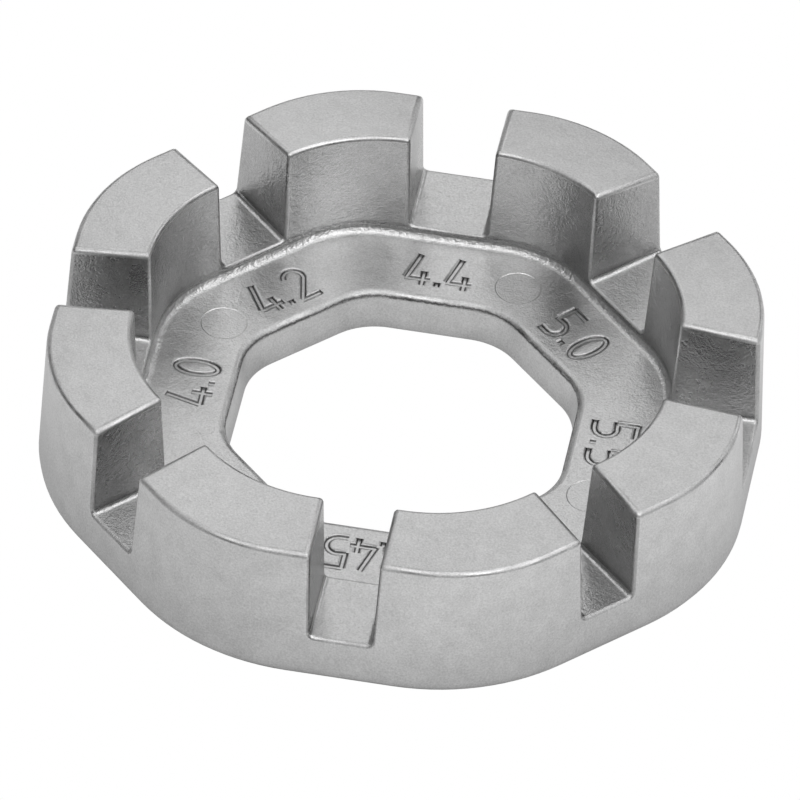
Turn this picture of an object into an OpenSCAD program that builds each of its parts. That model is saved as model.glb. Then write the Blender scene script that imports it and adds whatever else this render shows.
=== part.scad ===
// Spoke wrench: one die-cast ring with eight lugs, and between them eight open slots that each fit
// the square of one size of spoke nipple. Millimetres. The origin is the centre of the base, +Z is
// up, and the slots point out along X, Y and the diagonals. Every wall leans so that the casting
// leaves the die upwards: outer walls widen towards the base, slots and recess narrow towards it.

/* [Ring] */
// Width across the flats of the outer wall, at the base
outer_flats = 39; // [36:0.5:44]
// Radius of the outer wall's corners, at the base
outer_corner_base_r = 12.5; // [8:0.5:15]
// Radius of the outer wall's corners, at the top
outer_corner_top_r = 10; // [6:0.5:13]
// Height of the lugs' outer edge above the base
lug_h = 8.8; // [7.5:0.1:11]
// Rise of a lug's top from its outer edge to its inner edge
lug_rise = 0.4; // [0.1:0.05:0.8]
// Sideways travel of the outer wall for each unit of its height
outer_draft_share = 0.05; // [0.01:0.005:0.07]

/* [Recess] */
// Thickness of the web inside the lugs, between the base and the numbered face
web_t = 2.45; // [1.6:0.05:2.6]
// Thickness of the lugs' ring at its foot, from the outer wall's base in to the numbered face
lug_foot_t = 5.15; // [4:0.05:6.5]
// Radius of the recess's corners, at the numbered face
recess_corner_foot_r = 6.5; // [3:0.5:10]
// Radius of the recess's corners, at the lugs' tops
recess_corner_top_r = 9; // [6:0.5:12]
// Radius of the hollow fillet at the foot of the recess's wall
recess_fillet_r = 0.4; // [0.2:0.05:0.6]
// Sideways travel of the recess's wall for each unit of its height
recess_draft_share = 0.048; // [0.01:0.002:0.09]

/* [Hole] */
// Width of the numbered face, from the foot of the recess's wall to the middle hole
face_w = 5; // [4:0.1:6.5]
// Radius of the hole's corners
hole_corner_r = 3.6; // [1:0.1:6]
// Sideways travel of the hole's wall for each unit of its height
hole_draft_share = 0.09; // [0.01:0.01:0.15]

/* [Slots] */
// Widths of the slots at their floors, clockwise from the narrowest, seen from above
slot_w = [3.3, 3.45, 3.7, 4, 4.2, 4.4, 5, 5.5];
// Height of the slots' floors above the base
slot_floor_z = 3.1; // [2.7:0.05:4]
// Sideways travel of a slot's wall for each unit of its height
slot_draft_share = 0.032; // [0.01:0.002:0.09]
// Radius of the hollow fillets along a slot's floor
slot_fillet_r = 0.3; // [0.1:0.05:0.6]

/* [Edges] */
// Radius of the edges along the lugs' tops
top_edge_r = 0.3; // [0.1:0.05:0.5]
// Radius of the outer wall's edge at the base
base_edge_r = 1; // [0.2:0.1:1.5]
// Radius of both edges of the middle hole
hole_edge_r = 0.25; // [0.1:0.05:0.5]

/* [Ejector marks] */
// Diameter of the four round marks that the die's ejector pins leave on the numbered face
ejector_d = 2.6; // [2:0.1:3]
// Depth of the marks
ejector_depth = 0.05; // [0.03:0.01:0.15]
// Place of the marks' centres across the numbered face, as a share of its width from the hole
ejector_place_share = 0.55; // [0.45:0.01:0.6]

/* [Hidden] */
// Eight lugs and eight slots make the plan an octagon
sides = 8;
pitch = 360 / sides;
// Azimuth of the narrowest slot, and of the first ejector mark
first_slot_az = -pitch;
first_ejector_az = -pitch / 2;
ejector_count = sides / 2;
// Flat lengths of each rounded corner, and of each rounded edge or fillet
corner_steps = 8;
edge_steps = 4;
// Distance by which every cut runs past the faces that it opens
overrun = 1;

// Half widths across the flats, at the levels where the section turns
outer_base_a = outer_flats / 2;
outer_top_a = outer_base_a - lug_h * outer_draft_share;
recess_foot_a = outer_base_a - lug_foot_t;
lug_inner_h = lug_h + lug_rise;
recess_top_a = recess_foot_a + (lug_inner_h - web_t) * recess_draft_share;
hole_top_a = recess_foot_a - face_w;
hole_base_a = hole_top_a - web_t * hole_draft_share;

// Value between two ends
function between(from, to, share) = from + (to - from) * share;

// Points of an arc in a section's plane
function arc(centre, r, from, to) =
    [for (i = [0:edge_steps]) centre + r * [cos(between(from, to, i / edge_steps)),
                                            sin(between(from, to, i / edge_steps))]];

// Points of the arc that rounds the corner between two straight sides of a section
function rounded(before, corner, after, r) =
    let (u = (before - corner) / norm(before - corner), v = (after - corner) / norm(after - corner),
        half_angle = acos(u * v) / 2,
        centre = corner + (u + v) / norm(u + v) * r / sin(half_angle),
        start = corner + u * r / tan(half_angle) - centre,
        stop = corner + v * r / tan(half_angle) - centre,
        from = atan2(start[1], start[0]),
        swing = atan2(start[0] * stop[1] - start[1] * stop[0], start * stop))
    arc(centre, r, from, from + swing);

// The section's six sharp corners as [half width across the flats, height], from the base's outer
// edge up the outer wall, over the lug, down into the recess and through the hole
corners = [[outer_base_a, 0], [outer_top_a, lug_h], [recess_top_a, lug_inner_h],
    [recess_foot_a, web_t], [hole_top_a, web_t], [hole_base_a, 0]];
// Radius that rounds each of them in the section, and radius of the plan's corners there
corner_edge_r = [base_edge_r, top_edge_r, top_edge_r, recess_fillet_r, hole_edge_r, hole_edge_r];
corner_plan_r = [outer_corner_base_r, outer_corner_top_r, recess_corner_top_r,
    recess_corner_foot_r, hole_corner_r, hole_corner_r];

// The ring's section as [half width across the flats, height, radius of the plan's corners]. The
// plan's corners keep their centres where a rounded edge draws away from its sharp corner.
section = [for (i = [0:len(corners) - 1])
    let (last = len(corners) - 1, before = corners[i == 0 ? last : i - 1],
        after = corners[i == last ? 0 : i + 1])
    for (p = rounded(before, corners[i], after, corner_edge_r[i]))
        [p[0], p[1], corner_plan_r[i] + p[0] - corners[i][0]]];

// Plan of an octagon with rounded corners and one flat square to each slot
function plan(a, r, z) =
    [for (k = [0:sides - 1], i = [0:corner_steps])
        let (corner = (k + 0.5) * pitch, turn = corner + (i / corner_steps - 0.5) * pitch)
        [(a - r) / cos(pitch / 2) * cos(corner) + r * cos(turn),
         (a - r) / cos(pitch / 2) * sin(corner) + r * sin(turn), z]];

// The ring before its slots are cut: the section carried round the plan
module ring() {
    stations = sides * (corner_steps + 1);
    rows = len(section);
    points = [for (p = section) each plan(p[0], p[2], p[1])];
    faces = [for (j = [0:rows - 1], s = [0:stations - 1])
        let (a = j * stations, b = (j + 1) % rows * stations, t = (s + 1) % stations)
        each [[a + s, b + s, b + t], [a + s, b + t, a + t]]];
    polyhedron(points = points, faces = faces);
}

// Outline of one slot, seen along it: level floor, two fillets and two leaning walls
module slot_outline(w) {
    lean = atan(slot_draft_share);
    height = lug_inner_h - slot_floor_z + overrun;
    fillet_x = w / 2 + slot_fillet_r * (slot_draft_share - 1 / cos(lean));
    right = concat(arc([fillet_x, slot_fillet_r], slot_fillet_r, -90, -lean),
        [[w / 2 + height * slot_draft_share, height]]);
    left = [for (i = [len(right) - 1:-1:0]) [-right[i][0], right[i][1]]];
    polygon(concat(right, left));
}

// Cuts one slot through the lugs' ring, out along X
module slot(w) {
    translate([hole_top_a, 0, slot_floor_z])
        rotate([90, 0, 90])
            linear_extrude(outer_base_a - hole_top_a + overrun)
                slot_outline(w);
}

// The die casting
module wrench_body() {
    ejector_circle_r = hole_top_a + face_w * ejector_place_share;
    color("silver")
        difference() {
            ring();
            for (i = [0:sides - 1])
                rotate([0, 0, first_slot_az - i * pitch]) slot(slot_w[i]);
            for (i = [0:ejector_count - 1])
                rotate([0, 0, first_ejector_az + i * 2 * pitch])
                    translate([ejector_circle_r, 0, web_t - ejector_depth])
                        cylinder(h = ejector_depth + overrun, d = ejector_d, $fn = 48);
        }
}

wrench_body();
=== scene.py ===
import math
import bpy
import bmesh
from mathutils import kdtree, Matrix, Vector


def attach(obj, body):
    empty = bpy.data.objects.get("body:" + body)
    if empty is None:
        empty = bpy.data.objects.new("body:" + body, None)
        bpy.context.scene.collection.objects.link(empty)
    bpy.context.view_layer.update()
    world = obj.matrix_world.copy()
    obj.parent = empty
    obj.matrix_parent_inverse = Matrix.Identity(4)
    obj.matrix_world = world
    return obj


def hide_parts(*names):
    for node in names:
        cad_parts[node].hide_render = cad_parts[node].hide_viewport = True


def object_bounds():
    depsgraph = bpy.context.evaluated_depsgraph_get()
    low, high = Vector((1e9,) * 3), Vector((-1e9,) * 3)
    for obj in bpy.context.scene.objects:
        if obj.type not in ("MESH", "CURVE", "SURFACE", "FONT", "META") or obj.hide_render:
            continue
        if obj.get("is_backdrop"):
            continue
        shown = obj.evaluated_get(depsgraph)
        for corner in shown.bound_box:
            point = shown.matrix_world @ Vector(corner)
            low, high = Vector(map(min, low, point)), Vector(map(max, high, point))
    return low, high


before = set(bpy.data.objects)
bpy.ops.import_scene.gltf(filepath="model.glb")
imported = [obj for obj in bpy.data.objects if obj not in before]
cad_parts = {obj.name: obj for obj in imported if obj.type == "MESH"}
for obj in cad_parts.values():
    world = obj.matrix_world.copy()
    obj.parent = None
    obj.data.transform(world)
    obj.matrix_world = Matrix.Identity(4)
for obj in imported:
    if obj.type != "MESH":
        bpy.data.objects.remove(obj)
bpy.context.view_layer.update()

mm = 0.001

# The casting: one piece of zinc alloy, shot in a two-part die. A flat web with an octagonal hole
# carries eight lugs, and the slots between them fit the squares of eight nipple sizes. All walls
# lean, so that the piece leaves the upper half of the die.
outer_flats, outer_draft = 39 * mm, 0.05
outer_corner_base, outer_corner_top = 12.5 * mm, 10 * mm
lug_height, lug_rise = 8.8 * mm, 0.4 * mm
web_thickness = 2.45 * mm
recess_flats, recess_draft = 28.7 * mm, 0.048
recess_corner_foot, recess_corner_top = 6.5 * mm, 9 * mm
hole_flats, hole_draft, hole_corner = 18.7 * mm, 0.09, 3.6 * mm
slot_floor, slot_draft, slot_fillet = 3.1 * mm, 0.032, 0.32 * mm
slot_widths = [3.3, 3.45, 3.7, 4.0, 4.2, 4.4, 5.0, 5.5]  # mm, clockwise from -45 degrees
slot_count, eighth = 8, math.pi / 4


class Tree:
    """A node tree in the making: each call adds one node, fed with sockets or plain values."""

    def __init__(self, tree):
        self.tree = tree

    def add(self, kind, inputs=None, **settings):
        """Adds a node, makes its settings, then feeds its inputs."""
        node = self.tree.nodes.new(kind)
        for name, value in settings.items():
            setattr(node, name, value)
        for key, value in (inputs or {}).items():
            self.feed(node.inputs[key], value)
        return node

    def feed(self, socket, value):
        """Links a socket to another node's output, or gives it a plain value."""
        if isinstance(value, bpy.types.NodeSocket):
            self.tree.links.new(value, socket)
        else:
            socket.default_value = value

    def maths(self, operation, *values):
        node = self.add("ShaderNodeMath", operation=operation)
        for socket, value in zip(node.inputs, values):
            self.feed(socket, value)
        return node.outputs[0]

    def plus(self, *values):
        total = values[0]
        for value in values[1:]:
            total = self.maths("ADD", total, value)
        return total

    def minus(self, a, b):
        return self.maths("SUBTRACT", a, b)

    def times(self, *values):
        total = values[0]
        for value in values[1:]:
            total = self.maths("MULTIPLY", total, value)
        return total

    def choose(self, index, values):
        """The value that stands at the index's place in the list."""
        node = self.add("GeometryNodeIndexSwitch", data_type="FLOAT")
        while len(node.index_switch_items) < len(values):
            node.index_switch_items.new()
        self.feed(node.inputs[0], index)
        for socket, value in zip(node.inputs[1:], values):
            self.feed(socket, value)
        return node.outputs[0]

    def point(self, x, y, z):
        return self.add("ShaderNodeCombineXYZ", {"X": x, "Y": y, "Z": z}).outputs[0]


ring_sizes = {
    "Outer flats": outer_flats, "Outer draft": outer_draft,
    "Outer corner at base": outer_corner_base, "Outer corner at top": outer_corner_top,
    "Lug height": lug_height, "Lug rise": lug_rise, "Web thickness": web_thickness,
    "Recess flats": recess_flats, "Recess draft": recess_draft,
    "Recess corner at foot": recess_corner_foot, "Recess corner at top": recess_corner_top,
    "Hole flats": hole_flats, "Hole draft": hole_draft, "Hole corner": hole_corner,
    "Slot floor": slot_floor, "Slot draft": slot_draft, "Slot fillet": slot_fillet,
}
for i, width in enumerate(slot_widths):
    ring_sizes[f"Slot width {i + 1}"] = width * mm


def new_group(title, sizes):
    """Starts a Geometry Nodes group, with a named input for each size and one for the metal."""
    group = bpy.data.node_groups.new(title, "GeometryNodeTree")
    sockets = [("Geometry", "INPUT", "Geometry"), ("Geometry", "OUTPUT", "Geometry")]
    sockets += [(name, "INPUT", "Float") for name in sizes] + [("Metal", "INPUT", "Material")]
    for name, in_out, kind in sockets:
        group.interface.new_socket(name, in_out=in_out, socket_type="NodeSocket" + kind)
    return group


ring_group = new_group("slotted_ring", ring_sizes)
ring = Tree(ring_group)
size = ring.add("NodeGroupInput").outputs
half_outer = ring.times(size["Outer flats"], 0.5)
half_recess = ring.times(size["Recess flats"], 0.5)
half_hole = ring.times(size["Hole flats"], 0.5)
lug_inner = ring.plus(size["Lug height"], size["Lug rise"])
index = ring.add("GeometryNodeInputIndex").outputs[0]
widths = [size[f"Slot width {i + 1}"] for i in range(slot_count)]
# Room kept free beside each slot, run of the cutters past the lugs, and reach of the welding
clear_of_slot, overrun, weld = 0.55 * mm, 1.5 * mm, 0.002 * mm

# The section's six edges are carried round a rounded octagon. The grid's rows are the edges of
# the section. Its columns are the stations, which leave each slot's flat free and share out the
# rest of the outline between the slot's edge and the middle of the corner.
section_edges, last_recess_edge = 6, 3
half_steps = 8
per_corner = 2 * half_steps + 1
stations = slot_count * per_corner
grid = ring.add("GeometryNodeMeshGrid", {"Vertices X": section_edges + 1,
                                         "Vertices Y": stations + 1}).outputs[0]
row = ring.maths("FLOOR", ring.maths("DIVIDE", index, stations + 1))
row = ring.maths("FLOORED_MODULO", row, section_edges)
station = ring.maths("FLOORED_MODULO", index, stations + 1)
station = ring.maths("FLOORED_MODULO", station, stations)
corner = ring.maths("FLOOR", ring.maths("DIVIDE", station, per_corner))
across = ring.minus(station, ring.times(corner, per_corner))
across = ring.minus(ring.maths("DIVIDE", across, half_steps), 1.0)
share = ring.minus(1.0, ring.maths("ABSOLUTE", across))
past_corner = ring.maths("GREATER_THAN", across, 0.0001)
slot_place = ring.plus(corner, past_corner)
slot_number = ring.maths("FLOORED_MODULO", ring.minus(slot_count - 1, slot_place), slot_count)
width = ring.choose(slot_number, widths)
free = ring.plus(ring.times(width, 0.5), clear_of_slot)

reach = ring.choose(row, [
    half_outer,
    ring.minus(half_outer, ring.times(size["Lug height"], size["Outer draft"])),
    ring.plus(half_recess, ring.times(ring.minus(lug_inner, size["Web thickness"]),
                                      size["Recess draft"])),
    half_recess,
    half_hole,
    ring.minus(half_hole, ring.times(size["Web thickness"], size["Hole draft"]))])
radius = ring.choose(row, [size["Outer corner at base"], size["Outer corner at top"],
                           size["Recess corner at top"], size["Recess corner at foot"],
                           size["Hole corner"], size["Hole corner"]])
height = ring.choose(row, [0.0, size["Lug height"], lug_inner, size["Web thickness"],
                           size["Web thickness"], 0.0])
flat_half = ring.times(ring.minus(reach, radius), math.tan(eighth / 2))
whole_half = ring.plus(flat_half, ring.times(radius, eighth / 2))
in_hole = ring.maths("GREATER_THAN", row, last_recess_edge + 0.5)
start = ring.plus(ring.times(in_hole, ring.maths("MINIMUM", free, flat_half)),
                  ring.times(ring.minus(1.0, in_hole), free))
along = ring.plus(start, ring.times(share, ring.minus(whole_half, start)))
turn = ring.maths("DIVIDE", ring.maths("MAXIMUM", ring.minus(along, flat_half), 0.0), radius)
outward = ring.plus(ring.minus(reach, radius), ring.times(radius, ring.maths("COSINE", turn)))
sideways = ring.plus(ring.maths("MINIMUM", along, flat_half),
                     ring.times(radius, ring.maths("SINE", turn)))
sideways = ring.times(sideways, ring.minus(1.0, ring.times(past_corner, 2.0)))
facing = ring.times(slot_place, eighth)
cosine, sine = ring.maths("COSINE", facing), ring.maths("SINE", facing)
place = ring.point(ring.minus(ring.times(outward, cosine), ring.times(sideways, sine)),
                   ring.plus(ring.times(outward, sine), ring.times(sideways, cosine)), height)
band = ring.add("GeometryNodeSetPosition", {"Geometry": grid, "Position": place}).outputs[0]
band = ring.add("GeometryNodeMergeByDistance", {"Geometry": band, "Distance": weld}).outputs[0]
band = ring.add("GeometryNodeFlipFaces", {"Mesh": band}).outputs[0]

# One cutter for each slot: a bar with a round-cornered foot and leaning sides, set to its width
fillet_steps = 4
arc = [math.radians(90 * i / fillet_steps) for i in range(fillet_steps + 1)]
lift = [0.0] + [1 - math.sin(a) for a in arc] + [1 - math.sin(a) for a in reversed(arc)] + [0.0]
inset = [0.0] + [1 - math.cos(a) for a in arc] + [1 - math.cos(a) for a in reversed(arc)] + [0.0]
sides = len(lift)
middle_side = (sides - 1) / 2
seats = ring.add("GeometryNodePoints", {"Count": slot_count}).outputs[0]
bar = ring.add("GeometryNodeMeshCylinder", {"Vertices": sides}, fill_type="NGON").outputs["Mesh"]
bars = ring.add("GeometryNodeInstanceOnPoints", {"Points": seats, "Instance": bar}).outputs[0]
bars = ring.add("GeometryNodeRealizeInstances", {"Geometry": bars}).outputs[0]
number = ring.maths("FLOOR", ring.maths("DIVIDE", index, 2 * sides))
local = ring.maths("FLOORED_MODULO", index, 2 * sides)
end = ring.maths("FLOOR", ring.maths("DIVIDE", local, sides))
point_number = ring.maths("FLOORED_MODULO", local, sides)
at_top = ring.maths("ABSOLUTE", ring.minus(point_number, middle_side))
at_top = ring.maths("GREATER_THAN", at_top, middle_side - 0.5)
width = ring.choose(number, widths)
up = ring.plus(size["Slot floor"], ring.times(size["Slot fillet"], ring.choose(point_number, lift)),
               ring.times(at_top, ring.plus(ring.minus(lug_inner, size["Slot floor"]), overrun)))
half_gap = ring.plus(ring.times(width, 0.5),
                     ring.times(ring.minus(up, size["Slot floor"]), size["Slot draft"]))
half_gap = ring.minus(half_gap, ring.times(size["Slot fillet"], ring.choose(point_number, inset)))
side = ring.maths("SIGN", ring.minus(middle_side, point_number))
sideways = ring.times(half_gap, side)
bar_length = ring.plus(ring.minus(half_outer, half_recess), 2 * overrun)
outward = ring.plus(ring.minus(half_recess, overrun), ring.times(end, bar_length))
facing = ring.times(ring.plus(number, 1.0), -eighth)
cosine, sine = ring.maths("COSINE", facing), ring.maths("SINE", facing)
place = ring.point(ring.minus(ring.times(outward, cosine), ring.times(sideways, sine)),
                   ring.plus(ring.times(outward, sine), ring.times(sideways, cosine)), up)
bars = ring.add("GeometryNodeSetPosition", {"Geometry": bars, "Position": place}).outputs[0]
cut = ring.add("GeometryNodeMeshBoolean", {"Mesh 1": band, "Mesh 2": bars},
               operation="DIFFERENCE", solver="EXACT").outputs["Mesh"]
solid = ring.add("GeometryNodeRealizeInstances", {"Geometry": cut}).outputs[0]
solid = ring.add("GeometryNodeSetMaterial", {"Geometry": solid, "Material": size["Metal"]})
ring.feed(ring.add("NodeGroupOutput").inputs[0], solid.outputs[0])

# Zinc alloy as it comes from tumbling: dull grey and finely grained, rougher where the tumbling
# stones can't reach, and rubbed brighter along the edges
metal = bpy.data.materials.new("cast_zinc")
metal.use_nodes = True
finish = Tree(metal.node_tree)
surface = metal.node_tree.nodes["Principled BSDF"]
surface.inputs["Metallic"].default_value = 1.0
shelter_of_floors = 0.7  # where open faces have 0 and inner walls have 1
hole_reach, recess_reach, fillet_reach = 10.2 * mm, 15.3 * mm, 16 * mm
spot = finish.add("ShaderNodeTexCoord").outputs["Object"]
rubbed = finish.add("ShaderNodeAttribute", attribute_name="rubbed").outputs["Fac"]
sheltered = finish.add("ShaderNodeAttribute", attribute_name="sheltered").outputs["Fac"]
# Painted shade: a darker colour in the sunk marks and on the inner walls, where shade falls
painted_shade = finish.add("ShaderNodeAttribute", attribute_name="painted_shade").outputs["Fac"]


def grain(scale, detail=2.0, roughness=0.5):
    """A noise over the casting, finer with a larger scale."""
    return finish.add("ShaderNodeTexNoise", {"Vector": spot, "Scale": scale, "Detail": detail,
                                             "Roughness": roughness}).outputs["Fac"]


fine, coarse, cloudy = grain(9500.0), grain(3800.0, 3.0, 0.6), grain(800.0, 4.0, 0.55)
place = finish.add("ShaderNodeSeparateXYZ", {"Vector": spot}).outputs
from_axis = finish.plus(finish.times(place["X"], place["X"]), finish.times(place["Y"], place["Y"]))
from_axis = finish.maths("POWER", from_axis, 0.5)
on_wall = finish.times(finish.minus(sheltered, shelter_of_floors), 3.33)
on_wall = finish.maths("MAXIMUM", on_wall, 0.0)


def band_at(height, middle, half_width):
    """A soft band round the casting at one height: 1 in its middle, fading above and below."""
    off = finish.maths("DIVIDE", finish.minus(height, middle), half_width)
    return finish.maths("POWER", math.e, finish.times(off, off, -1.0))


# A ragged line runs round the hole just below its upper edge, where the two halves of the die met:
# a slight groove, with painted shade in the colour for the dark line below the hole's round edge
parting_height, parting_half_width = web_thickness - 0.25 * mm, 0.06 * mm
raggedness = 0.3 * mm
ragged = finish.times(finish.minus(grain(3200.0, 4.0, 0.8), 0.5), raggedness)
parting = band_at(finish.plus(place["Z"], ragged), parting_height, parting_half_width)
parting = finish.times(parting, finish.maths("LESS_THAN", from_axis, hole_reach))

# The wall of the recess is dragged upwards at its foot, where the casting left the die
drag_height, drag_half_width, drag_stretch = web_thickness + 0.5 * mm, 0.2 * mm, 0.3
drawn = finish.point(place["X"], place["Y"], finish.times(place["Z"], drag_stretch))
streaks = finish.add("ShaderNodeTexNoise", {"Vector": drawn, "Scale": 5200.0, "Detail": 3.0,
                                            "Roughness": 0.6}).outputs["Fac"]
foot = finish.times(band_at(place["Z"], drag_height, drag_half_width), on_wall,
                    finish.maths("LESS_THAN", from_axis, recess_reach))

# The hollow fillet below it keeps a coarser grain than the faces that it joins, and a painted
# highlight lightens its colour
fillet_height, fillet_half_width = web_thickness + 0.25 * mm, 0.24 * mm
above_face = web_thickness + 0.01 * mm
hollow = finish.times(band_at(place["Z"], fillet_height, fillet_half_width),
                      finish.maths("GREATER_THAN", place["Z"], above_face),
                      finish.maths("LESS_THAN", from_axis, fillet_reach))

# Colour: grey, cloudy and grained, lighter on rubbed crests, with a painted highlight in the
# fillet, painted shade along the parting line, and painted shade in the sunk marks and on the inner
# walls
grey, cloud_in_grey, grain_in_grey = 0.59, 0.34, 0.6
# The fillet's lift is a painted highlight. The parting line's darkness and the dirt darkness are
# painted shade, in the sunk marks and on the inner walls.
rubbed_lift, fillet_painted_highlight, parting_painted_shade, painted_shade_darkness = 0.06, 0.2, 0.72, 0.68
shade = finish.plus(1.0, finish.times(finish.minus(cloudy, 0.5), cloud_in_grey),
                    finish.times(finish.minus(fine, 0.5), grain_in_grey))
lighter = finish.plus(1.0, finish.times(rubbed, rubbed_lift), finish.times(hollow, fillet_painted_highlight))
shade = finish.times(shade, lighter, finish.minus(1.0, finish.times(parting, parting_painted_shade)),
                     finish.minus(1.0, finish.times(painted_shade, painted_shade_darkness)), grey)
colour = finish.add("ShaderNodeCombineColor", {"Red": shade, "Green": shade, "Blue": shade})
finish.feed(surface.inputs["Base Color"], colour.outputs[0])

# Roughness: uneven, lower on the inner walls, and raised in patches along the rubbed crests, so
# that their highlights break up
roughness, cloud_in_roughness, grain_in_roughness = 0.325, 0.12, 0.1
rubbed_roughness, patchy_roughness, fillet_roughness, wall_roughness = 0.04, 0.26, 0.1, -0.1
patches = finish.times(finish.minus(grain(330.0, 3.0, 0.6), 0.4), 5.0)
patches = finish.maths("MINIMUM", finish.maths("MAXIMUM", patches, 0.0), 1.0)
along_crests = finish.plus(rubbed_roughness, finish.times(patches, patchy_roughness))
rough = finish.plus(roughness, finish.times(finish.minus(cloudy, 0.5), cloud_in_roughness),
                    finish.times(finish.minus(coarse, 0.5), grain_in_roughness),
                    finish.times(rubbed, along_crests), finish.times(hollow, fillet_roughness),
                    finish.times(on_wall, wall_roughness))
finish.feed(surface.inputs["Roughness"], rough)

# Relief: each grain's share of the depth on open faces, and what is added in sheltered places,
# then the parting line, the drag streaks and the fillet's own grain
relief_depth = 0.02 * mm
relief = finish.plus(
    *[finish.times(grains, finish.plus(open_share, finish.times(sheltered, sheltered_share)))
      for grains, open_share, sheltered_share in ((fine, 0.28, 0.92), (coarse, 0.12, 1.28),
                                                  (cloudy, 0.65, 1.25))],
    finish.times(parting, -0.3), finish.times(streaks, foot, 3.0),
    finish.times(coarse, hollow, 2.6))
bump = finish.add("ShaderNodeBump", {"Strength": 1.0, "Distance": relief_depth, "Height": relief})
finish.feed(surface.inputs["Normal"], bump.outputs[0])

casting = bpy.data.objects.new("wrench_casting", bpy.data.meshes.new("wrench_casting"))
bpy.context.scene.collection.objects.link(casting)


def shape_with(piece, group, sizes):
    """Puts a Geometry Nodes group on a piece and sets its inputs by their identifiers."""
    shape = piece.modifiers.new(group.name, "NODES")
    shape.node_group = group
    for item in group.interface.items_tree:
        if item.item_type == "SOCKET" and item.in_out == "INPUT" and item.name != "Geometry":
            shape[item.identifier] = metal if item.name == "Metal" else sizes[item.name]


def settle(piece):
    """Turns what the modifiers make into the piece's plain mesh and removes them."""
    evaluated = piece.evaluated_get(bpy.context.evaluated_depsgraph_get())
    mesh = bpy.data.meshes.new_from_object(evaluated)
    piece.modifiers.clear()
    piece.data = mesh


shape_with(casting, ring_group, ring_sizes)
settle(casting)

# The die leaves no sharp edge: small radii on outward edges, a larger hollow one where the wall of
# the recess stands on the web, and a round base edge outside. The inner edge of a slot is sharpest
# along its sill. Edges that bend less than the least bend belong to the plan's round corners.
base_round, top_round, recess_fillet = 1.0 * mm, 0.3 * mm, 0.5 * mm
hole_round, hole_base_round = 0.42 * mm, 0.2 * mm
outer_slot_round, inner_slot_round, slot_sill_round = 0.25 * mm, 0.22 * mm, 0.14 * mm
least_bend, near_enough = math.radians(35), 0.01 * mm
outside_hole, outside_recess = outer_flats * 0.4, outer_flats * 0.45
mesh = bmesh.new()
mesh.from_mesh(casting.data)
bmesh.ops.remove_doubles(mesh, verts=mesh.verts, dist=weld / 2)
weight = mesh.edges.layers.float.new("bevel_weight_edge")
for edge in mesh.edges:
    if edge.calc_face_angle() < least_bend:
        continue
    low, high = sorted(v.co.z for v in edge.verts)
    far = max(math.hypot(v.co.x, v.co.y) for v in edge.verts)
    if not edge.is_convex:
        rounding = recess_fillet
    elif high < near_enough:
        rounding = base_round if far > outside_hole else hole_base_round
    elif high < web_thickness + near_enough:
        rounding = hole_round
    elif low > lug_height - near_enough:
        rounding = top_round
    elif far > outside_recess:
        rounding = outer_slot_round
    else:
        above_sill = min(1.0, ((low + high) / 2 - slot_floor) / slot_fillet)
        rounding = slot_sill_round + (inner_slot_round - slot_sill_round) * above_sill
    edge[weight] = rounding / base_round
mesh.to_mesh(casting.data)
mesh.free()
die_radii = casting.modifiers.new("die_radii", "BEVEL")
die_radii.limit_method = "WEIGHT"
die_radii.width = base_round
die_radii.segments = 4
die_radii.use_clamp_overlap = False
settle(casting)

# The size numbers: flat-bottomed grooves that raised strokes on the die leave in the web's face,
# one number below each slot, read from the middle. Four ejector pins leave faint round marks.
figure_foot, figure_squeeze = 10.49 * mm, 0.988
stroke_width, stroke_depth = 0.34 * mm, 0.12 * mm
ejector_diameter, ejector_depth, ejector_lean = 2.6 * mm, 0.035 * mm, 1.7
ejector_places = [(-21.6, 12.02), (68.2, 12.2), (155.3, 11.97), (247.5, 12.07)]  # degrees, mm


def bow(x, y, wide, high, start, stop, steps=8):
    """Points along part of an ellipse, from one angle to another, in degrees."""
    angles = [math.radians(start + (stop - start) * i / steps) for i in range(steps + 1)]
    return [(x + wide * math.cos(a), y + high * math.sin(a)) for a in angles]


# The strokes of each figure, in mm from its lower left corner. The stroke of the 0 is closed.
figures = {
    "0": [bow(0.55, 1.185, 0.55, 1.185, 90, 450, 24)[:-1]],
    "2": [bow(0.58, 1.78, 0.58, 0.59, 175, -20, 10) + [(0.0, 0.0)], [(-0.1, 0.0), (1.25, 0.0)]],
    "3": [bow(0.56, 1.79, 0.54, 0.58, 160, -90, 12)
          + bow(0.56, 0.605, 0.6, 0.605, 90, -160, 12)[1:]],
    "4": [[(0.53, 2.45), (-0.02, 0.45)], [(-0.1, 0.5), (1.36, 0.5)], [(0.93, 1.1), (0.93, -0.06)]],
    "5": [[(0.02, 2.37), (1.18, 2.37)], [(0.05, 2.46), (0.05, 1.22)],
          [(-0.02, 1.24)] + bow(0.5, 0.65, 0.66, 0.65, 80, -90, 10) + [(0.02, 0.0)]],
    "7": [[(0.0, 2.37), (1.24, 2.37)], [(1.18, 2.42), (0.35, -0.04)]],
    ".": [[(0.0, -0.04), (0.0, 0.32)]],
}
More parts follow.
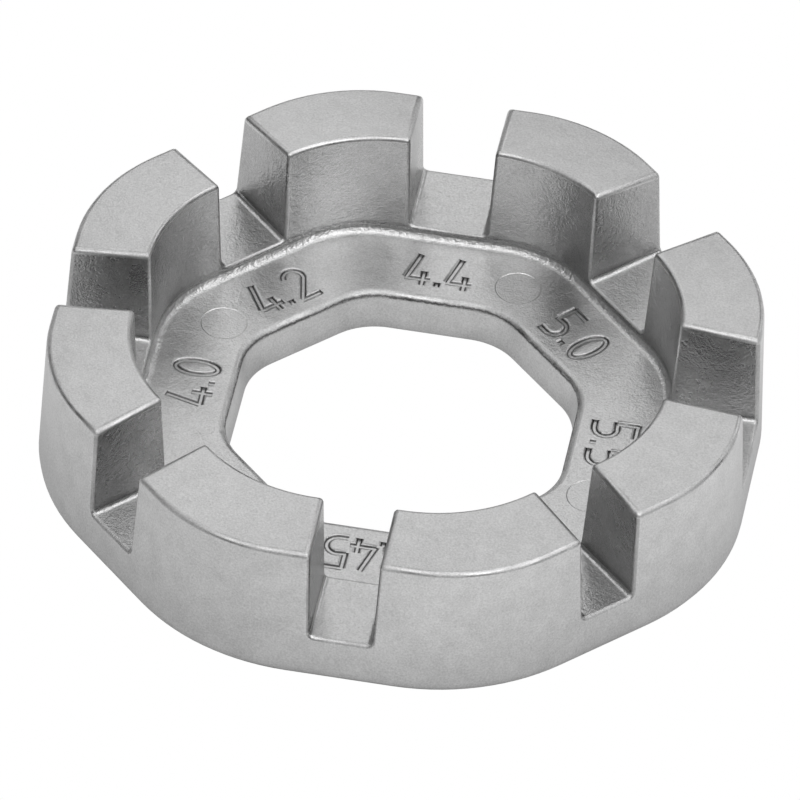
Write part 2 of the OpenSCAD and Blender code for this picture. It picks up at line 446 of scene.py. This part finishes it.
# The figures below each slot, by its azimuth in degrees, each with its left edge in mm
labels = [(-45, [("3", -1.72), (".", 0.05), ("3", 0.66)]),
          (-90, [("3", -2.3), (".", -0.85), ("4", -0.43), ("5", 1.05)]),
          (-135, [("3", -1.72), (".", 0.05), ("7", 0.66)]),
          (180, [("4", -1.73), (".", 0.05), ("0", 0.66)]),
          (135, [("4", -1.73), (".", 0.05), ("2", 0.66)]),
          (90, [("4", -1.73), (".", 0.05), ("4", 0.62)]),
          (45, [("5", -1.72), (".", 0.05), ("0", 0.66)]),
          (0, [("5", -1.72), (".", 0.05), ("5", 0.64)])]
points, lines = [], []
for azimuth, row_of_figures in labels:
    turn = math.radians(azimuth)
    for figure, left in row_of_figures:
        for stroke in figures[figure]:
            first = len(points)
            for x, y in stroke:
                across, out = (left + x) * figure_squeeze * mm, figure_foot + y * mm
                points.append((out * math.cos(turn) + across * math.sin(turn),
                               out * math.sin(turn) - across * math.cos(turn), web_thickness))
            lines += [(i, i + 1) for i in range(first, len(points) - 1)]
            if figure == "0":
                lines.append((len(points) - 1, first))
marks = bpy.data.objects.new("sunk_marks", bpy.data.meshes.new("sunk_marks"))
marks.data.from_pydata(points, lines, [])
bpy.context.scene.collection.objects.link(marks)
mark_sizes = {"Stroke width": stroke_width, "Stroke depth": stroke_depth,
              "Ejector diameter": ejector_diameter, "Ejector depth": ejector_depth,
              "Face height": web_thickness}
mark_group = new_group("sunk_marks", mark_sizes)
press = Tree(mark_group)
size = press.add("NodeGroupInput").outputs
strokes = press.add("GeometryNodeMeshToCurve", {"Mesh": size["Geometry"]}).outputs[0]
strokes = press.add("GeometryNodeSetCurveNormal", {"Curve": strokes}, mode="Z_UP").outputs[0]
index = press.add("GeometryNodeInputIndex").outputs[0]

# The groove's outline across a stroke: a flat foot, steep walls and round shoulders at the face
half_outline = [(0.14, 1.0), (0.26, 1.0), (0.4, 0.5), (0.56, 0.18), (0.74, 0.04), (0.9, -0.03),
                (1.0, -0.4)]
outline = [(-x, y) for x, y in reversed(half_outline)] + half_outline
profile = press.add("GeometryNodeCurvePrimitiveCircle", {"Resolution": len(outline)}).outputs[0]
across = press.times(size["Stroke width"], press.choose(index, [-x for x, y in outline]))
down = press.times(size["Stroke depth"], press.choose(index, [y for x, y in outline]))
place = press.point(across, down, 0.0)
profile = press.add("GeometryNodeSetPosition", {"Geometry": profile, "Position": place}).outputs[0]
grooves = press.add("GeometryNodeCurveToMesh", {"Curve": strokes, "Profile Curve": profile,
                                                "Fill Caps": True}).outputs[0]
facing = press.choose(index, [math.radians(azimuth) for azimuth, reach in ejector_places])
reach = press.choose(index, [reach * mm for azimuth, reach in ejector_places])
place = press.point(press.times(reach, press.maths("COSINE", facing)),
                    press.times(reach, press.maths("SINE", facing)),
                    press.minus(size["Face height"], size["Ejector depth"]))
ejectors = press.add("GeometryNodePoints", {"Count": len(ejector_places),
                                            "Position": place}).outputs[0]
half_pin = press.times(size["Ejector diameter"], 0.5)
lean = press.times(size["Ejector depth"], ejector_lean)
pin = press.add("GeometryNodeMeshCone", {
    "Vertices": 64, "Radius Top": press.plus(half_pin, lean),
    "Radius Bottom": press.minus(half_pin, lean), "Depth": press.times(size["Ejector depth"], 2.0)})
pins = press.add("GeometryNodeInstanceOnPoints", {"Points": ejectors, "Instance": pin.outputs[0]})
pins = pins.outputs[0]
both = press.add("GeometryNodeJoinGeometry")
press.feed(both.inputs[0], grooves)
press.feed(both.inputs[0], pins)
whole = press.add("GeometryNodeRealizeInstances", {"Geometry": both.outputs[0]}).outputs[0]
whole = press.add("GeometryNodeSetMaterial", {"Geometry": whole, "Material": size["Metal"]})
press.feed(press.add("NodeGroupOutput").inputs[0], whole.outputs[0])
shape_with(marks, mark_group, mark_sizes)
settle(marks)
sink = casting.modifiers.new("sink_marks", "BOOLEAN")
sink.operation = "DIFFERENCE"
sink.solver = "EXACT"
sink.use_self = True
sink.object = marks
settle(casting)
bpy.data.objects.remove(marks)

# The finish on the faces: smooth over the radii, crisp at the feet and rims of the figures. It
# needs three measures at each corner of a face: how far it is rubbed, on the crests of outward
# edges, how far it is sheltered from the tumbling stones, and how much painted shade it gets.
crisp_from = math.radians(12)
rubbed_from, rubbed_fully, rubbed_to = math.radians(13), math.radians(20), math.radians(30)
figure_inner, figure_outer = 9.85 * mm, 13.6 * mm
# Painted shade on the inner walls of the recess and of the slots, and in and beside the strokes
painted_shade_in_recess, painted_shade_in_slots = 0.28, 0.43
painted_shade_line, painted_shade_half_width, painted_shade_fade = 0.35, 0.1, 9  # beside a stroke's middle, in its widths
top_band, outer_reach, step_along = 0.3 * mm, 17.5 * mm, 0.03 * mm
mesh = casting.data
for face in mesh.polygons:
    face.use_smooth = True
mesh.set_sharp_from_angle(angle=math.radians(32))
measure = bmesh.new()
measure.from_mesh(mesh)


def in_figure(face):
    """Whether a face lies in one of the grooves or on their rims."""
    middle = face.calc_center_median()
    turns = [i * eighth for i in range(slot_count)]
    reach = max(middle.x * math.cos(turn) + middle.y * math.sin(turn) for turn in turns)
    foot, rim = web_thickness - stroke_depth * 1.1, web_thickness - 0.0005 * mm
    return foot < middle.z < rim and figure_inner < reach < figure_outer and face.normal.z > -0.5


for edge in measure.edges:
    if edge.calc_face_angle() > crisp_from and any(in_figure(face) for face in edge.link_faces):
        edge.smooth = False
along_strokes = []
for a, b in lines:
    a, b = Vector(points[a]), Vector(points[b])
    count = max(1, round((b - a).length / step_along))
    along_strokes += [a.lerp(b, i / count) for i in range(count + 1)]
middles = kdtree.KDTree(len(along_strokes))
for i, spot_on_stroke in enumerate(along_strokes):
    middles.insert(spot_on_stroke, i)
middles.balance()
crest, rim_painted_shade = {}, {}
for vertex in measure.verts:
    bend = max(edge.calc_face_angle_signed() for edge in vertex.link_edges)
    if bend < rubbed_to:
        share = (bend - rubbed_from) / (rubbed_fully - rubbed_from)
        crest[vertex.index] = min(1.0, max(0.0, share))
    aside = middles.find((vertex.co.x, vertex.co.y, web_thickness))[2] / stroke_width
    faded = (abs(aside - painted_shade_line) - painted_shade_half_width) * painted_shade_fade
    rim_painted_shade[vertex.index] = min(1.0, max(0.0, 1.0 - faded))
sunk = [in_figure(face) for face in measure.faces]
measure.to_mesh(mesh)
measure.free()
even = casting.modifiers.new("even_normals", "WEIGHTED_NORMAL")
even.mode = "FACE_AREA"
even.weight = 50
even.keep_sharp = True
settle(casting)
mesh = casting.data
measures = ("rubbed", "sheltered", "painted_shade")
for name in measures:
    mesh.attributes.new(name, "FLOAT", "CORNER")
is_rubbed, is_sheltered, painted_shade_values = (mesh.attributes[name].data for name in measures)
for face in mesh.polygons:
    reach = math.hypot(face.center.x, face.center.y)
    outward = (face.center.x * face.normal.x + face.center.y * face.normal.y) / reach
    lug_top = face.center.z > lug_height - top_band
    outer_wall = outward > 0.8 and reach > outer_reach
    open_side = lug_top or outer_wall or face.normal.z < -0.5
    inner_wall = not open_side and abs(face.normal.z) < 0.5 and face.center.z > web_thickness
    shelter = 0.0 if open_side else 1.0 if inner_wall else shelter_of_floors
    # Painted shade on the inner walls, more between the lugs than in the recess
    wall_painted_shade = 0.0 if not inner_wall else painted_shade_in_recess if outward < -0.7 else painted_shade_in_slots
    groove_wall = face.normal.z < 0.3
    for corner in face.loop_indices:
        vertex = mesh.loops[corner].vertex_index
        is_sheltered[corner].value = shelter
        # In the sunk marks the painted shade is full on the groove walls and fades beside the
        # strokes
        if sunk[face.index]:
            is_rubbed[corner].value = 0.0
            painted_shade_values[corner].value = 1.0 if groove_wall else rim_painted_shade[vertex]
        else:
            is_rubbed[corner].value = crest.get(vertex, 0.0)
            painted_shade_values[corner].value = wall_painted_shade
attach(casting, "root")
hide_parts("wrench_body")

# The studio: a sheet of white paper with soft boxes round it, and the camera where it stood for
# the photograph. Its place, turns and focal length were fitted together with the casting's sizes.
azimuth, elevation, roll = math.radians(7.982), math.radians(42.703), math.radians(3.008)
aim_right, aim_up, distance = -0.0246 * mm, 2.4555 * mm, 698.86 * mm
focal_pixels, picture_pixels, sensor_width = 12716.6, 800, 36


def direction(azimuth, elevation):
    """The direction out from the origin at an azimuth and an elevation, in radians."""
    return Vector((math.cos(elevation) * math.cos(azimuth),
                   math.cos(elevation) * math.sin(azimuth), math.sin(elevation)))


back = direction(azimuth - math.pi / 2, elevation)
right = Vector((math.cos(azimuth), math.sin(azimuth), 0))
up = back.cross(right)
cosine, sine = math.cos(roll), math.sin(roll)
right, up = right * cosine + up * sine, up * cosine - right * sine
camera = bpy.data.objects.new("camera", bpy.data.cameras.new("camera"))
camera.data.lens = focal_pixels / picture_pixels * sensor_width
camera.data.sensor_width = sensor_width
camera.data.clip_start, camera.data.clip_end = 0.05, 20
camera.matrix_world = Matrix((right, up, back)).transposed().to_4x4()
camera.location = right * aim_right + up * aim_up + back * distance
bpy.context.scene.collection.objects.link(camera)
bpy.context.scene.camera = camera

# The paper lies a hair below the casting's flat base. The camera sees it pure white. The metal
# sees it with a painted shadow close to the casting, as real paper is shaded there, and with
# painted shade on its left, which faces less of the light.
half_sheet, drop = 3.0, 0.02 * mm
sheet_white, sheet_roughness = (0.85, 0.85, 0.85, 1), 0.9
near, left_shade, left_from, left_to = 14 * mm, 0.87, -20 * mm, -12 * mm
white = (1, 1, 1, 1)
paper = bpy.data.materials.new("white_paper")
paper.use_nodes = True
sheet = Tree(paper.node_tree)
matt = paper.node_tree.nodes["Principled BSDF"]
matt.inputs["Base Color"].default_value = sheet_white
matt.inputs["Roughness"].default_value = sheet_roughness
seen = sheet.add("ShaderNodeLightPath").outputs
open_air = sheet.add("ShaderNodeAmbientOcclusion", {"Distance": near}, samples=6).outputs["AO"]
spot = sheet.add("ShaderNodeTexCoord").outputs["Object"]
rightwards = sheet.add("ShaderNodeVectorMath", {0: spot, 1: (1.0, 0.5, 0.0)},
                       operation="DOT_PRODUCT").outputs["Value"]
left_side = sheet.add("ShaderNodeMapRange", {
    "Value": rightwards, "From Min": left_from, "From Max": left_to,
    "To Min": left_shade, "To Max": 1.0}).outputs[0]
strength = sheet.maths("MAXIMUM", sheet.times(open_air, left_side), seen["Is Camera Ray"])
glow = sheet.add("ShaderNodeEmission", {"Color": white, "Strength": strength}).outputs[0]
shows_glow = seen["Is Camera Ray"]
for kind in ("Is Glossy Ray", "Is Transmission Ray"):
    shows_glow = sheet.maths("MAXIMUM", shows_glow, seen[kind])
mix = sheet.add("ShaderNodeMixShader", {0: shows_glow, 1: matt.outputs[0], 2: glow}).outputs[0]
sheet.feed(paper.node_tree.nodes["Material Output"].inputs["Surface"], mix)
floor_mesh = bpy.data.meshes.new("floor")
sheet_corners = [(x * half_sheet, y * half_sheet, -drop)
                 for x, y in ((-1, -1), (1, -1), (1, 1), (-1, 1))]
floor_mesh.from_pydata(sheet_corners, [], [(0, 1, 2, 3)])
floor_mesh.materials.append(paper)
floor = bpy.data.objects.new("floor", floor_mesh)
bpy.context.scene.collection.objects.link(floor)
floor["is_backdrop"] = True

# The room round it gives little light, and the camera sees it white
room_light = 0.04
world = bpy.data.worlds.new("studio")
bpy.context.scene.world = world
world.use_nodes = True
air = Tree(world.node_tree)
room = world.node_tree.nodes["Background"]
room.inputs["Color"].default_value = white
room.inputs["Strength"].default_value = room_light
backdrop = air.add("ShaderNodeBackground", {"Color": white}).outputs[0]
seen = air.add("ShaderNodeLightPath").outputs["Is Camera Ray"]
mix = air.add("ShaderNodeMixShader", {0: seen, 1: room.outputs[0], 2: backdrop}).outputs[0]
air.feed(world.node_tree.nodes["World Output"].inputs["Surface"], mix)

# Soft boxes, each with its elevation and azimuth in degrees, its width in metres and its power
# in watts
box_distance = 0.9
soft_boxes = [(25, 45, 0.36, 0.69), (25, 105, 0.36, 0.14), (45, 90, 0.5, 0.75),
              (45, 120, 0.5, 0.29), (45, 150, 0.5, 0.44), (45, 240, 0.5, 0.78),
              (45, 300, 0.5, 1.31), (45, 330, 0.5, 1.68), (65, 22.5, 0.5, 1.54),
              (65, 157.5, 0.5, 0.54), (65, 247.5, 0.5, 1.5)]
for elevation, azimuth, width, power in soft_boxes:
    towards = direction(math.radians(azimuth), math.radians(elevation))
    lamp = bpy.data.lights.new("soft_box", "AREA")
    lamp.energy, lamp.size = power, width
    soft_box = bpy.data.objects.new("soft_box", lamp)
    soft_box.location = towards * box_distance
    soft_box.rotation_euler = towards.to_track_quat("Z", "Y").to_euler()
    bpy.context.scene.collection.objects.link(soft_box)

bpy.context.scene.view_settings.view_transform = "Standard"
low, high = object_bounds()
